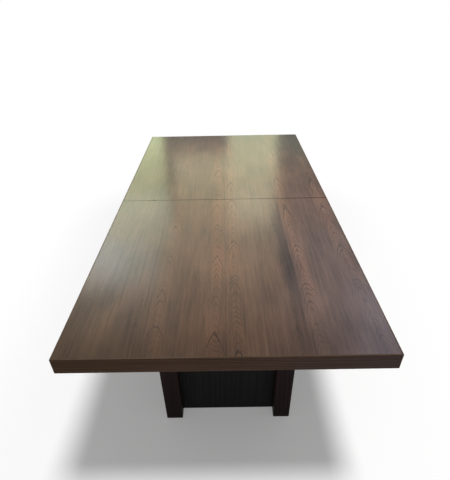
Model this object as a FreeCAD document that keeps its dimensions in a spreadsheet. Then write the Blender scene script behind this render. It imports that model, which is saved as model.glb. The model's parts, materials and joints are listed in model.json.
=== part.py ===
import FreeCAD, Part
import os
import re

import Sketcher

# Double pedestal dining table whose top parts at a seam in the middle of its length.
# X runs across the top, Y along it and Z up; the origin is on the floor under the middle.
# Each half of the top is bolted to a pedestal of its own, and the halves draw apart on two
# geared slides: a centre rail carries a pinion between a rack on each half.
# Every piece of a half is drawn as it lies in the front half (Y below zero); the rear half
# is the same half turned by 180 degrees about Z.

SIZES = {
    # Top, closed up
    "top_length": 2100,
    "top_width": 1100,
    "table_height": 760,
    "panel_thick": 25,
    "edge_depth": 64,          # height of the edge that shows all round
    "buildup_width": 45,       # strips glued under the panel to thicken its edge
    "edging_thick": 5,         # solid lipping round panel and strips
    "corner_round": 3,
    "arris_round": 1.5,
    "seam_gap": 0.6,
    "seam_chamfer": 1,
    "leaf_opening": 500,       # how far the halves draw apart
    # Battens under the seam
    "batten_length": 560,
    "batten_width": 60,
    "batten_thick": 18,
    "batten_setback": 6,
    # Pins that line the halves up
    "pin_count": 3,
    "pin_span": 840,           # first pin to last
    "pin_dia": 10,
    "pin_embed": 25,
    "pin_reach": 14,
    "pin_taper": 2.5,
    "pin_clear": 0.4,
    "glue_clear": 0.1,         # round a piece that is glued or driven in
    # Pedestals
    "pedestal_width": 580,
    "pedestal_depth": 400,
    "pedestal_overhang": 265,  # from the end of the top to the face of the posts
    "post_size": 75,
    "post_round": 2.5,
    "tenon_size": 45,
    "tenon_clear": 0.2,
    "infill_thick": 18,
    "infill_reveal": 8,        # from the infill's inner face to the post's inner face
    "infill_floor_gap": 6,
    "housing_depth": 5,        # groove in the post that holds the infill
    "housing_clear": 0.2,
    "board_thick": 22,
    "glide_height": 4,
    "glide_dia": 38,
    "glide_edge": 1,
    "glide_pin_dia": 8,
    "glide_pin_length": 20,
    # Bolts that hold a half of the top to its pedestal
    "bolt_dia": 8,
    "bolt_bite": 15,
    "bolt_head_across": 13,
    "bolt_head_height": 5.5,
    "bolt_flange_dia": 18,
    "bolt_flange_thick": 1.6,
    "bolt_span_across": 300,   # first bolt to last
    "bolt_span_along": 160,
    "bolts_across": 3,
    "bolts_along": 2,
    "hole_clear": 0.4,
    # Slides
    "slide_length": 800,
    "slide_height": 34,
    "slide_width": 26,
    "slide_gap": 1,            # between a side rail and the centre rail
    "slide_relief": 1,         # keeps a rail off the half that it isn't screwed to
    "dovetail_neck": 8,
    "dovetail_head": 14,
    "dovetail_depth": 9,
    "dovetail_clear": 0.3,
    "screw_dia": 5,
    "screw_head_dia": 9.5,
    "screw_head_height": 3,
    "screw_sink": 4,
    "screw_bite": 14,
    "screw_seam_inset": 60,    # from the seam to the nearest screw
    "screw_end_inset": 40,     # from the rail's end to the furthest screw
    "screws_per_rail": 3,
    # Rack and pinion
    "gear_module": 2,
    "pinion_teeth": 18,
    "pressure_angle": 20,      # degrees
    "backlash": 0.4,
    "gear_thick": 8,
    "rack_back": 3.5,
    "rack_spare_teeth": 4,
    "pinion_clear": 1,
    "axle_dia": 8,
    "axle_head_dia": 14,
    "axle_head_height": 2.5,
    "axle_thread_dia": 6,
    "axle_thread_length": 10,
    "end_play": 0.2,
    "bearing_clear": 0.08,
    # Locks that hook the halves together
    "lock_inset": 100,         # from the batten's end to the lock's pivot
    "lock_thick": 4,
    "hook_width": 16,
    "hook_head_dia": 30,
    "hook_boss_dia": 24,
    "hook_slot_clear": 2.5,
    "hook_slot_sweep": 30,     # degrees, past the slot's mouth
    "hook_overrun": 2,         # degrees, from the keeper to the slot's end
    "knob_offset": 40,
    "knob_dia": 12,
    "knob_height": 8,
    "pivot_dia": 8,
    "pivot_head_dia": 16,
    "pivot_head_height": 2.5,
    "pivot_thread_dia": 5,
    "pivot_thread_length": 14,
    "stud_dia": 8,
    "stud_reach": 9,
    "stud_embed": 14,
}

# Sizes and places that follow from those above
UNDERSIDE = "(table_height - panel_thick)"
EDGE_BOTTOM = "(table_height - edge_depth)"
CORE_SIDE = "(top_width / 2 - edging_thick)"
CORE_END = "(top_length / 2 - edging_thick)"
SEAM_FACE = "(seam_gap / 2)"
BATTEN_BOTTOM = f"({UNDERSIDE} - batten_thick)"
LOCK_X = "(batten_length / 2 - lock_inset)"
LOCK_Y = f"({SEAM_FACE} + batten_setback + batten_width / 2)"
LOCK_REACH = f"(2 * {LOCK_Y})"
HOOK_TOP = f"({BATTEN_BOTTOM} - end_play)"
HOOK_BOTTOM = f"({HOOK_TOP} - lock_thick)"
PIVOT_SEAT = f"({HOOK_BOTTOM} - end_play)"
PIN_Z = f"({UNDERSIDE} + panel_thick / 2)"
PIN_STEP = "(pin_span / (pin_count - 1))"

BOARD_BOTTOM = f"({UNDERSIDE} - board_thick)"
PEDESTAL_Y = "(top_length / 2 - pedestal_overhang - pedestal_depth / 2)"
POST_X = "((pedestal_width - post_size) / 2)"
POST_Y = "((pedestal_depth - post_size) / 2)"
INFILL_INSET = "(post_size - infill_reveal - infill_thick / 2)"
BOLT_STEP_X = "(bolt_span_across / (bolts_across - 1))"
BOLT_STEP_Y = "(bolt_span_along / (bolts_along - 1))"

PITCH_RADIUS = "(gear_module * pinion_teeth / 2)"
PITCH = "(gear_module * pi)"
ADDENDUM = "gear_module"
DEDENDUM = "(1.25 * gear_module)"
RACK_TIP = f"({PITCH_RADIUS} - {ADDENDUM})"
RACK_ROOT = f"({PITCH_RADIUS} + {DEDENDUM})"
RACK_BACK = f"({RACK_ROOT} + rack_back)"
SLIDE_FACE = f"({RACK_TIP} - slide_gap)"
SLIDE_SIDE = f"({RACK_TIP} + slide_width)"
SLIDE_BOTTOM = f"({UNDERSIDE} - slide_height)"
SCREW_X = f"(({RACK_BACK} + {SLIDE_SIDE}) / 2)"
SCREW_SEAT = f"({SLIDE_BOTTOM} + screw_sink)"
LAST_SCREW = "(slide_length / 2 - screw_end_inset)"
SCREW_STEP = f"(({LAST_SCREW} - screw_seam_inset) / (screws_per_rail - 1))"
TONGUE_END = f"({SLIDE_FACE} + dovetail_depth)"
GEAR_BOTTOM = f"({SLIDE_BOTTOM} + axle_head_height + end_play)"
GEAR_TOP = f"({GEAR_BOTTOM} + gear_thick)"
GEAR_CEILING = f"({GEAR_TOP} + end_play)"
# The tongues lie midway between the gears and the top of the centre rail
CENTRE_TOP = f"({UNDERSIDE} - slide_relief)"
TONGUE_Z = f"(({GEAR_CEILING} + {CENTRE_TOP}) / 2)"
# The slides run midway between the pedestals and the strips under the edge
SLIDE_X = f"((pedestal_width / 2 + {CORE_SIDE} - buildup_width) / 2)"

doc = FreeCAD.newDocument("double_pedestal_table")
sheet = doc.addObject("Spreadsheet::Sheet", "dims")
for row_number, (name, number) in enumerate(SIZES.items(), 1):
    sheet.set(f"A{row_number}", name)
    sheet.set(f"B{row_number}", str(number))
    sheet.setAlias(f"B{row_number}", name)
doc.recompute()

subparts = []


# Formulas

def cells(formula):
    """The formula with each named size written as a reference to its cell."""
    return re.sub(r"[a-z_]+", lambda word: f"dims.{word[0]}" if word[0] in SIZES else word[0], formula)


def value(formula):
    """What the formula comes to now, in millimetres or as a plain number."""
    return float(sheet.evalExpression(cells(formula)))


def bind(thing, name, formula):
    thing.setExpression(name, cells(formula))


def involute(radius):
    """Involute angle of the pinion's flank at a radius."""
    tilt = f"acos({PITCH_RADIUS} * cos(pressure_angle * 1deg) / {radius})"
    return f"(tan({tilt}) * 180deg / pi - {tilt})"


# Bodies and sketches

def new_body(label):
    body = doc.addObject("PartDesign::Body", label)
    body.Label = label
    subparts.append(body)
    return body


def place(body, x="0", y="0", turn=0):
    body.Placement.Rotation = FreeCAD.Rotation(FreeCAD.Vector(0, 0, 1), turn)
    bind(body, "Placement.Base.x", x)
    bind(body, "Placement.Base.y", y)


def sketch_on(body, role, name, lift="0"):
    """Sketch on an origin plane of the body, moved along the plane's normal by lift."""
    sketch = body.newObject("Sketcher::SketchObject", name)
    plane = next(item for item in body.Origin.OriginFeatures if item.Role == role)
    sketch.AttachmentSupport = [(plane, "")]
    sketch.MapMode = "FlatFace"
    bind(sketch, "AttachmentOffset.Base.z", lift)
    return sketch


def pin_point(sketch, geometry, vertex, x, y):
    """Holds a vertex at (x, y) from the sketch's origin."""
    for kind, formula in (("DistanceX", x), ("DistanceY", y)):
        number = sketch.addConstraint(Sketcher.Constraint(kind, -1, 1, geometry, vertex, value(formula)))
        bind(sketch, f"Constraints[{number}]", formula)


def outline(sketch, steps):
    """Closed outline. A step (x, y) starts a straight side, (x, y, via x, via y) an arc."""
    points = [FreeCAD.Vector(value(step[0]), value(step[1]), 0) for step in steps]
    first = sketch.GeometryCount
    for here, there, step in zip(points, points[1:] + points[:1], steps):
        if len(step) == 2:
            sketch.addGeometry(Part.LineSegment(here, there))
        else:
            sketch.addGeometry(Part.Arc(here, FreeCAD.Vector(value(step[2]), value(step[3]), 0), there))
    sides = list(range(first, first + len(steps)))
    starts = []
    for side, here in zip(sides, points):
        near = sketch.getPoint(side, 1).distanceToPoint(here)
        far = sketch.getPoint(side, 2).distanceToPoint(here)
        starts.append(1 if near < far else 2)
    for place_in_loop, side in enumerate(sides):
        following = (place_in_loop + 1) % len(sides)
        corner = Sketcher.Constraint(
            "Coincident", side, 3 - starts[place_in_loop], sides[following], starts[following]
        )
        sketch.addConstraint(corner)
    for side, start, step in zip(sides, starts, steps):
        pin_point(sketch, side, start, step[0], step[1])
        if len(step) == 4:
            middle = FreeCAD.Vector(value(step[2]), value(step[3]), 0)
            marker = sketch.addGeometry(Part.Point(middle), True)
            pin_point(sketch, marker, 1, step[2], step[3])
            sketch.addConstraint(Sketcher.Constraint("PointOnObject", marker, 1, side))


def rectangle(sketch, low_x, low_y, high_x, high_y):
    outline(sketch, [(low_x, low_y), (high_x, low_y), (high_x, high_y), (low_x, high_y)])


def circle(sketch, x, y, diameter):
    centre = FreeCAD.Vector(value(x), value(y), 0)
    ring = sketch.addGeometry(Part.Circle(centre, FreeCAD.Vector(0, 0, 1), value(diameter) / 2))
    pin_point(sketch, ring, 3, x, y)
    number = sketch.addConstraint(Sketcher.Constraint("Diameter", ring, value(diameter)))
    bind(sketch, f"Constraints[{number}]", diameter)


# Features

def pad(body, sketch, length, symmetric=False, reverse=False):
    feature = body.newObject("PartDesign::Pad", f"{sketch.Name}_pad")
    feature.Profile = sketch
    bind(feature, "Length", length)
    feature.SideType = "Symmetric" if symmetric else "One side"
    feature.Reversed = reverse
    return feature


def pocket(body, sketch, depth, along_normal=False):
    """Cut from the sketch, against the plane's normal unless along_normal is set."""
    doc.recompute()
    before = body.Shape.Volume
    feature = body.newObject("PartDesign::Pocket", f"{sketch.Name}_cut")
    feature.Profile = sketch
    bind(feature, "Length", depth)
    feature.Reversed = along_normal
    doc.recompute()
    if body.Shape.Volume >= before:
        raise RuntimeError(f"{feature.Name} in {body.Label} removes nothing")
    return feature


def revolve(body, sketch):
    """Full turn about the sketch's upright axis."""
    feature = body.newObject("PartDesign::Revolution", f"{sketch.Name}_turned")
    feature.Profile = sketch
    feature.ReferenceAxis = (sketch, ["V_Axis"])
    feature.Angle = 360
    return feature


def repeat(body, features, axis, spacing, number):
    """Straight row of copies along the body's X or Y axis."""
    doc.recompute()
    pattern = body.newObject("PartDesign::LinearPattern", f"{features[-1].Name}_row")
    pattern.Originals = features
    direction = next(item for item in body.Origin.OriginFeatures if item.Role == axis)
    pattern.Direction = (direction, [""])
    pattern.Mode = "Spacing"
    bind(pattern, "Offset", spacing)
    bind(pattern, "Occurrences", number)
    body.Tip = pattern
    return pattern


def grid(body, features, spacing_x, number_x, spacing_y, number_y):
    """Rows of copies along the body's X and Y axes."""
    pattern = repeat(body, features, "X_Axis", spacing_x, number_x)
    pattern.Direction2 = (next(item for item in body.Origin.OriginFeatures if item.Role == "Y_Axis"), [""])
    pattern.Mode2 = "Spacing"
    pattern.Spacings2 = [-1.0]  # no step differs from the common spacing
    bind(pattern, "Offset2", spacing_y)
    bind(pattern, "Occurrences2", number_y)
    return pattern


def soften(body, kind, amount, chosen):
    """Fillet or Chamfer on the edges of the body for which chosen(edge) holds."""
    doc.recompute()
    tip = body.Tip
    edges = [f"Edge{number}" for number, edge in enumerate(tip.Shape.Edges, 1) if chosen(edge)]
    feature = body.newObject(f"PartDesign::{kind}", f"{body.Name}_{kind.lower()}")
    feature.Base = (tip, edges)
    bind(feature, "Radius" if kind == "Fillet" else "Size", amount)
    return feature


def same(number, formula):
    return abs(number - value(formula)) < 1e-6


def level(edge, formula):
    """True for an edge that lies at one height."""
    return all(same(corner.Z, formula) for corner in edge.Vertexes)


def upright_at(edge, x, y):
    """True for an edge that stands at plus or minus x and plus or minus y."""
    foot, top = edge.Vertexes[0], edge.Vertexes[-1]
    stands = abs(foot.X - top.X) + abs(foot.Y - top.Y) < 1e-6
    return stands and same(abs(foot.X), x) and same(abs(foot.Y), y)


def turned_piece(label, steps, origin_x="0", origin_y="0"):
    """Piece turned about an upright axis through (origin x, origin y), from half its outline."""
    body = new_body(label)
    half = sketch_on(body, "XZ_Plane", f"{label}_half", f"-({origin_y})")
    bind(half, "AttachmentOffset.Base.x", origin_x)
    outline(half, steps)
    return body, revolve(body, half)


# Halves of the top

def top_panel(side, turn, pin_hole, pin_hole_depth):
    body = new_body(f"{side}_top_panel")
    face = sketch_on(body, "XY_Plane", f"{side}_panel_face", UNDERSIDE)
    rectangle(face, f"-{CORE_SIDE}", f"-{CORE_END}", CORE_SIDE, f"-{SEAM_FACE}")
    pad(body, face, "panel_thick")

    def seam_arris(edge):
        return level(edge, "table_height") and all(same(end.Y, f"-{SEAM_FACE}") for end in edge.Vertexes)

    soften(body, "Chamfer", "seam_chamfer", seam_arris)
    bolt = sketch_on(body, "XY_Plane", f"{side}_panel_bolt_hole", UNDERSIDE)
    first_bolt_y = f"-{PEDESTAL_Y} - bolt_span_along / 2"
    circle(bolt, "-bolt_span_across / 2", first_bolt_y, "bolt_dia + 2 * glue_clear")
    bolt_hole = pocket(body, bolt, "bolt_bite + hole_clear", along_normal=True)
    grid(body, [bolt_hole], BOLT_STEP_X, "bolts_across", BOLT_STEP_Y, "bolts_along")
    screw = sketch_on(body, "XY_Plane", f"{side}_panel_screw_hole", UNDERSIDE)
    circle(screw, f"-{SLIDE_X} + {SCREW_X}", f"-{LAST_SCREW}", "screw_dia + 2 * glue_clear")
    screw_hole = pocket(body, screw, "screw_bite + hole_clear", along_normal=True)
    grid(body, [screw_hole], f"2 * {SLIDE_X}", "2", SCREW_STEP, "screws_per_rail")
    pin = sketch_on(body, "XZ_Plane", f"{side}_panel_pin_hole", SEAM_FACE)
    circle(pin, "-pin_span / 2", PIN_Z, pin_hole)
    pin_cut = pocket(body, pin, pin_hole_depth, along_normal=True)
    repeat(body, [pin_cut], "X_Axis", PIN_STEP, "pin_count")
    place(body, turn=turn)


def buildup_strip(label, turn, corners):
    body = new_body(label)
    plan = sketch_on(body, "XY_Plane", f"{label}_plan", EDGE_BOTTOM)
    outline(plan, corners)
    pad(body, plan, "edge_depth - panel_thick")
    place(body, turn=turn)


def end_strip(side, turn):
    inner_side = f"({CORE_SIDE} - buildup_width)"
    inner_end = f"({CORE_END} - buildup_width)"
    buildup_strip(f"{side}_end_rail", turn, [
        (f"-{CORE_SIDE}", f"-{CORE_END}"),
        (CORE_SIDE, f"-{CORE_END}"),
        (inner_side, f"-{inner_end}"),
        (f"-{inner_side}", f"-{inner_end}"),
    ])


def side_strip(side, hand, turn, sign):
    inner_side = f"({CORE_SIDE} - buildup_width)"
    buildup_strip(f"{side}_{hand}_rail", turn, [
        (f"{sign}{CORE_SIDE}", f"-{CORE_END}"),
        (f"{sign}{inner_side}", f"-({CORE_END} - buildup_width)"),
        (f"{sign}{inner_side}", f"-{SEAM_FACE}"),
        (f"{sign}{CORE_SIDE}", f"-{SEAM_FACE}"),
    ])


def edging(label, turn, steps):
    """Lipping as deep as the edge, with its outer arrises rounded."""
    body = new_body(label)
    plan = sketch_on(body, "XY_Plane", f"{label}_plan", EDGE_BOTTOM)
    outline(plan, steps)
    pad(body, plan, "edge_depth")
    outer_x = value("top_width / 2 - edging_thick / 4")
    outer_y = value("top_length / 2 - edging_thick / 4")

    def outer_arris(edge):
        middle = edge.valueAt((edge.FirstParameter + edge.LastParameter) / 2)
        outside = abs(middle.x) > outer_x or abs(middle.y) > outer_y
        return outside and (level(edge, "table_height") or level(edge, EDGE_BOTTOM))

    soften(body, "Fillet", "arris_round", outer_arris)
    place(body, turn=turn)


def corner_points(sign):
    """Points of a rounded corner: its end on the side, its mitre point and its end on the end face."""
    slant = "corner_round * (1 - cos(45deg))"
    shallow = "corner_round * (1 - cos(22.5deg))"
    steep = "corner_round * (1 - sin(22.5deg))"
    return {
        "side": (f"{sign}(top_width / 2)", "-(top_length / 2 - corner_round)"),
        "side_via": (f"{sign}(top_width / 2 - {shallow})", f"-(top_length / 2 - {steep})"),
        "mitre": (f"{sign}(top_width / 2 - {slant})", f"-(top_length / 2 - {slant})"),
        "end_via": (f"{sign}(top_width / 2 - {steep})", f"-(top_length / 2 - {shallow})"),
        "end": (f"{sign}(top_width / 2 - corner_round)", "-(top_length / 2)"),
    }


def end_edging(side, turn):
    left = corner_points("-")
    right = corner_points("")
    edging(f"{side}_end_edging", turn, [
        (f"-{CORE_SIDE}", f"-{CORE_END}"),
        left["mitre"] + left["end_via"],
        left["end"],
        right["end"] + right["end_via"],
        right["mitre"],
        (CORE_SIDE, f"-{CORE_END}"),
    ])


def side_edging(side, hand, turn, sign):
    corner = corner_points(sign)
    edging(f"{side}_{hand}_edging", turn, [
        (f"{sign}{CORE_SIDE}", f"-{CORE_END}"),
        corner["mitre"] + corner["side_via"],
        corner["side"],
        (f"{sign}(top_width / 2)", f"-{SEAM_FACE}"),
        (f"{sign}{CORE_SIDE}", f"-{SEAM_FACE}"),
    ])


def seam_batten(side, turn, hole, hole_depth):
    """Batten beside the seam, drilled for the lock's pivot or for its keeper."""
    body = new_body(f"{side}_seam_batten")
    plan = sketch_on(body, "XY_Plane", f"{side}_batten_plan", BATTEN_BOTTOM)
    near = f"({SEAM_FACE} + batten_setback)"
    rectangle(plan, "-batten_length / 2", f"-({near} + batten_width)", "batten_length / 2", f"-{near}")
    pad(body, plan, "batten_thick")
    drill = sketch_on(body, "XY_Plane", f"{side}_batten_hole", BATTEN_BOTTOM)
    circle(drill, f"-{LOCK_X}", f"-{LOCK_Y}", hole)
    cut = pocket(body, drill, hole_depth, along_normal=True)
    repeat(body, [cut], "X_Axis", f"2 * {LOCK_X}", "2")
    place(body, turn=turn)


def alignment_pins():
    """Bullet-nosed pins along Y, glued into the front panel's seam face."""
    body = new_body("seam_alignment_pins")
    half = sketch_on(body, "XY_Plane", "alignment_pin_half", PIN_Z)
    bind(half, "AttachmentOffset.Base.x", "-pin_span / 2")
    nose = f"({SEAM_FACE} + pin_reach)"
    outline(half, [
        ("0", f"-{SEAM_FACE} - pin_embed"),
        ("pin_dia / 2", f"-{SEAM_FACE} - pin_embed"),
        ("pin_dia / 2", f"{nose} - pin_taper"),
        ("pin_dia / 2 - pin_taper", nose),
        ("0", nose),
    ])
    repeat(body, [revolve(body, half)], "X_Axis", PIN_STEP, "pin_count")


# Slides

def side_rail(label, x, turn):
    """Rail with a dovetail groove and, under it, a rebate for the rack."""
    body = new_body(label)
    section = sketch_on(body, "XZ_Plane", f"{label}_section")
    slope = "((dovetail_head - dovetail_neck) / 2 / dovetail_depth)"
    mouth = f"(dovetail_neck / 2 + {slope} * slide_gap + dovetail_clear)"
    root = "(dovetail_head / 2 + dovetail_clear)"
    root_x = f"{TONGUE_END} + dovetail_clear"
    outline(section, [
        (RACK_BACK, SLIDE_BOTTOM),
        (SLIDE_SIDE, SLIDE_BOTTOM),
        (SLIDE_SIDE, UNDERSIDE),
        (RACK_TIP, UNDERSIDE),
        (RACK_TIP, f"{TONGUE_Z} + {mouth}"),
        (root_x, f"{TONGUE_Z} + {root}"),
        (root_x, f"{TONGUE_Z} - {root}"),
        (RACK_TIP, f"{TONGUE_Z} - {mouth}"),
        (RACK_TIP, GEAR_TOP),
        (RACK_BACK, GEAR_TOP),
    ])
    pad(body, section, "slide_length", symmetric=True)
    free_end = sketch_on(body, "XY_Plane", f"{label}_free_end", UNDERSIDE)
    rectangle(free_end, RACK_TIP, "0", SLIDE_SIDE, "slide_length / 2")
    pocket(body, free_end, "slide_relief")
    bore = sketch_on(body, "XY_Plane", f"{label}_screw_bore", SLIDE_BOTTOM)
    circle(bore, SCREW_X, f"-{LAST_SCREW}", "screw_dia + 2 * hole_clear")
    bore_cut = pocket(body, bore, "slide_height", along_normal=True)
    sink = sketch_on(body, "XY_Plane", f"{label}_screw_sink", SLIDE_BOTTOM)
    circle(sink, SCREW_X, f"-{LAST_SCREW}", "screw_head_dia + 2 * hole_clear")
    sink_cut = pocket(body, sink, "screw_sink", along_normal=True)
    repeat(body, [bore_cut, sink_cut], "Y_Axis", SCREW_STEP, "screws_per_rail")
    place(body, x, turn=turn)


def rack(label, x, turn, phase):
    """Toothed strip, with a tooth space at the pinion's rest place, moved along by phase."""
    body = new_body(label)
    first = f"({phase} - {PITCH} * rack_spare_teeth)"
    spaces = f"(ceil(leaf_opening / 2 / {PITCH}) + 2 * rack_spare_teeth + 1)"
    strip = sketch_on(body, "XY_Plane", f"{label}_strip", GEAR_BOTTOM)
    rectangle(
        strip, RACK_TIP, f"{first} - {PITCH} / 2", RACK_BACK, f"{first} + {PITCH} * ({spaces} - 0.5)"
    )
    pad(body, strip, "gear_thick")
    space = sketch_on(body, "XY_Plane", f"{label}_space", GEAR_BOTTOM)
    flank = "tan(pressure_angle * 1deg)"
    at_tip = f"({PITCH} / 4 + backlash / 4 + {ADDENDUM} * {flank})"
    at_root = f"({PITCH} / 4 + backlash / 4 - {DEDENDUM} * {flank})"
    outline(space, [
        (RACK_TIP, f"{first} - {at_tip}"),
        (RACK_ROOT, f"{first} - {at_root}"),
        (RACK_ROOT, f"{first} + {at_root}"),
        (RACK_TIP, f"{first} + {at_tip}"),
    ])
    cut = pocket(body, space, "gear_thick", along_normal=True)
    repeat(body, [cut], "Y_Axis", PITCH, spaces)
    place(body, x, turn=turn)


def polar(radius, angle):
    return f"{radius} * cos({angle})", f"{radius} * sin({angle})"


def pinion(label, x):
    """Gear with a tooth on the X axis and involute flanks, radial below the base circle."""
    body = new_body(label)
    blank = sketch_on(body, "XY_Plane", f"{label}_blank", GEAR_BOTTOM)
    circle(blank, "0", "0", f"2 * ({PITCH_RADIUS} + {ADDENDUM})")
    circle(blank, "0", "0", "axle_dia + 2 * bearing_clear")
    pad(body, blank, "gear_thick")
    base = f"({PITCH_RADIUS} * cos(pressure_angle * 1deg))"
    root = f"({PITCH_RADIUS} - {DEDENDUM})"
    beyond = f"({PITCH_RADIUS} + {DEDENDUM})"
    midway = f"(({base} + {beyond}) / 2)"
    middle = "180deg / pinion_teeth"
    at_pitch = f"(90deg / pinion_teeth + backlash / 4 / {PITCH_RADIUS} * 180deg / pi)"
    at_base = f"({at_pitch} - {involute(PITCH_RADIUS)})"
    at_midway = f"({at_base} + {involute(midway)})"
    at_beyond = f"({at_base} + {involute(beyond)})"
    space = sketch_on(body, "XY_Plane", f"{label}_space", GEAR_BOTTOM)
    outline(space, [
        polar(root, f"{middle} - {at_base}"),
        polar(base, f"{middle} - {at_base}") + polar(midway, f"{middle} - {at_midway}"),
        polar(beyond, f"{middle} - {at_beyond}"),
        polar(beyond, f"{middle} + {at_beyond}") + polar(midway, f"{middle} + {at_midway}"),
        polar(base, f"{middle} + {at_base}"),
        polar(root, f"{middle} + {at_base}"),
    ])
    cut = pocket(body, space, "gear_thick", along_normal=True)
    teeth = body.newObject("PartDesign::PolarPattern", f"{label}_teeth")
    teeth.Originals = [cut]
    teeth.Axis = (next(item for item in body.Origin.OriginFeatures if item.Role == "Z_Axis"), [""])
    bind(teeth, "Occurrences", "pinion_teeth")
    body.Tip = teeth
    place(body, x)


def centre_rail(label, x):
    """Rail with a dovetail tongue on each side and a round pocket for the pinion underneath."""
    body = new_body(label)
    section = sketch_on(body, "XZ_Plane", f"{label}_section")
    right = [
        (SLIDE_FACE, SLIDE_BOTTOM),
        (SLIDE_FACE, f"{TONGUE_Z} - dovetail_neck / 2"),
        (TONGUE_END, f"{TONGUE_Z} - dovetail_head / 2"),
        (TONGUE_END, f"{TONGUE_Z} + dovetail_head / 2"),
        (SLIDE_FACE, f"{TONGUE_Z} + dovetail_neck / 2"),
        (SLIDE_FACE, CENTRE_TOP),
    ]
    outline(section, right + [(f"-{across}", up) for across, up in reversed(right)])
    pad(body, section, "slide_length", symmetric=True)
    room = sketch_on(body, "XY_Plane", f"{label}_pinion_room", SLIDE_BOTTOM)
    circle(room, "0", "0", f"2 * ({PITCH_RADIUS} + {ADDENDUM} + pinion_clear)")
    pocket(body, room, f"{GEAR_CEILING} - {SLIDE_BOTTOM}", along_normal=True)
    drill = sketch_on(body, "XY_Plane", f"{label}_axle_hole", GEAR_CEILING)
    circle(drill, "0", "0", "axle_thread_dia + 2 * glue_clear")
    pocket(body, drill, "axle_thread_length + hole_clear", along_normal=True)
    place(body, x)


def pinion_axle(label, x):
    """Shoulder screw: the pinion runs on its shoulder, between its head and the centre rail."""
    body = turned_piece(label, [
        ("0", SLIDE_BOTTOM),
        ("axle_head_dia / 2", SLIDE_BOTTOM),
        ("axle_head_dia / 2", f"{SLIDE_BOTTOM} + axle_head_height"),
        ("axle_dia / 2", f"{SLIDE_BOTTOM} + axle_head_height"),
        ("axle_dia / 2", GEAR_CEILING),
        ("axle_thread_dia / 2", GEAR_CEILING),
        ("axle_thread_dia / 2", f"{GEAR_CEILING} + axle_thread_length"),
        ("0", f"{GEAR_CEILING} + axle_thread_length"),
    ])[0]
    place(body, x)


def slide_screws(side, turn):
    """Screws up through both side rails of a half into its panel."""
    body, turned = turned_piece(f"{side}_slide_screws", [
        ("0", f"{SCREW_SEAT} - screw_head_height"),
        ("screw_head_dia / 2", f"{SCREW_SEAT} - screw_head_height"),
        ("screw_head_dia / 2", SCREW_SEAT),
        ("screw_dia / 2", SCREW_SEAT),
        ("screw_dia / 2", f"{UNDERSIDE} + screw_bite"),
        ("0", f"{UNDERSIDE} + screw_bite"),
    ], f"-{SLIDE_X} + {SCREW_X}", f"-{LAST_SCREW}")
    grid(body, [turned], f"2 * {SLIDE_X}", "2", SCREW_STEP, "screws_per_rail")
    place(body, turn=turn)


# Locks

def lock_hook(label, x):
    """Flat hook that turns about its pivot; its slot follows the keeper's path round the pivot."""
    body = new_body(label)
    plan = sketch_on(body, "XY_Plane", f"{label}_boss", HOOK_BOTTOM)
    circle(plan, "0", "0", "hook_boss_dia")
    pad(body, plan, "lock_thick")
    arm = sketch_on(body, "XY_Plane", f"{label}_arm", HOOK_BOTTOM)
    rectangle(arm, "0", "-hook_width / 2", LOCK_REACH, "hook_width / 2")
    pad(body, arm, "lock_thick")
    head = sketch_on(body, "XY_Plane", f"{label}_head", HOOK_BOTTOM)
    circle(head, LOCK_REACH, "0", "hook_head_dia")
    pad(body, head, "lock_thick")
    knob = sketch_on(body, "XY_Plane", f"{label}_knob", HOOK_BOTTOM)
    circle(knob, "knob_offset", "0", "knob_dia")
    pad(body, knob, "knob_height", reverse=True)
    eye = sketch_on(body, "XY_Plane", f"{label}_eye", HOOK_BOTTOM)
    circle(eye, "0", "0", "pivot_dia + 2 * bearing_clear")
    pocket(body, eye, "lock_thick", along_normal=True)
    half_slot = "(stud_dia / 2 + hook_slot_clear)"
    inner = f"({LOCK_REACH} - {half_slot})"
    outer = f"({LOCK_REACH} + {half_slot})"
    mouth = "hook_slot_sweep * 1deg"
    stop = "hook_overrun * -1deg"
    stop_x, stop_y = polar(LOCK_REACH, stop)
    round_end = (f"{stop_x} + {half_slot} * sin({stop})", f"{stop_y} - {half_slot} * cos({stop})")
    slot = sketch_on(body, "XY_Plane", f"{label}_slot", HOOK_BOTTOM)
    outline(slot, [
        polar(inner, stop) + round_end,
        polar(outer, stop) + polar(outer, f"({stop} + {mouth}) / 2"),
        polar(outer, mouth),
        polar(inner, mouth) + polar(inner, f"({stop} + {mouth}) / 2"),
    ])
    pocket(body, slot, "lock_thick", along_normal=True)
    place(body, x, f"-{LOCK_Y}")


def lock_pivots():
    body, turned = turned_piece("lock_pivot_screws", [
        ("0", f"{PIVOT_SEAT} - pivot_head_height"),
        ("pivot_head_dia / 2", f"{PIVOT_SEAT} - pivot_head_height"),
        ("pivot_head_dia / 2", PIVOT_SEAT),
        ("pivot_dia / 2", PIVOT_SEAT),
        ("pivot_dia / 2", BATTEN_BOTTOM),
        ("pivot_thread_dia / 2", BATTEN_BOTTOM),
        ("pivot_thread_dia / 2", f"{BATTEN_BOTTOM} + pivot_thread_length"),
        ("0", f"{BATTEN_BOTTOM} + pivot_thread_length"),
    ], f"-{LOCK_X}", f"-{LOCK_Y}")
    repeat(body, [turned], "X_Axis", f"2 * {LOCK_X}", "2")


def lock_keepers():
    body, turned = turned_piece("lock_keeper_studs", [
        ("0", f"{BATTEN_BOTTOM} - stud_reach"),
        ("stud_dia / 2", f"{BATTEN_BOTTOM} - stud_reach"),
        ("stud_dia / 2", f"{BATTEN_BOTTOM} + stud_embed"),
        ("0", f"{BATTEN_BOTTOM} + stud_embed"),
    ], f"-{LOCK_X}", LOCK_Y)
    repeat(body, [turned], "X_Axis", f"2 * {LOCK_X}", "2")


# Pedestals

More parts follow.
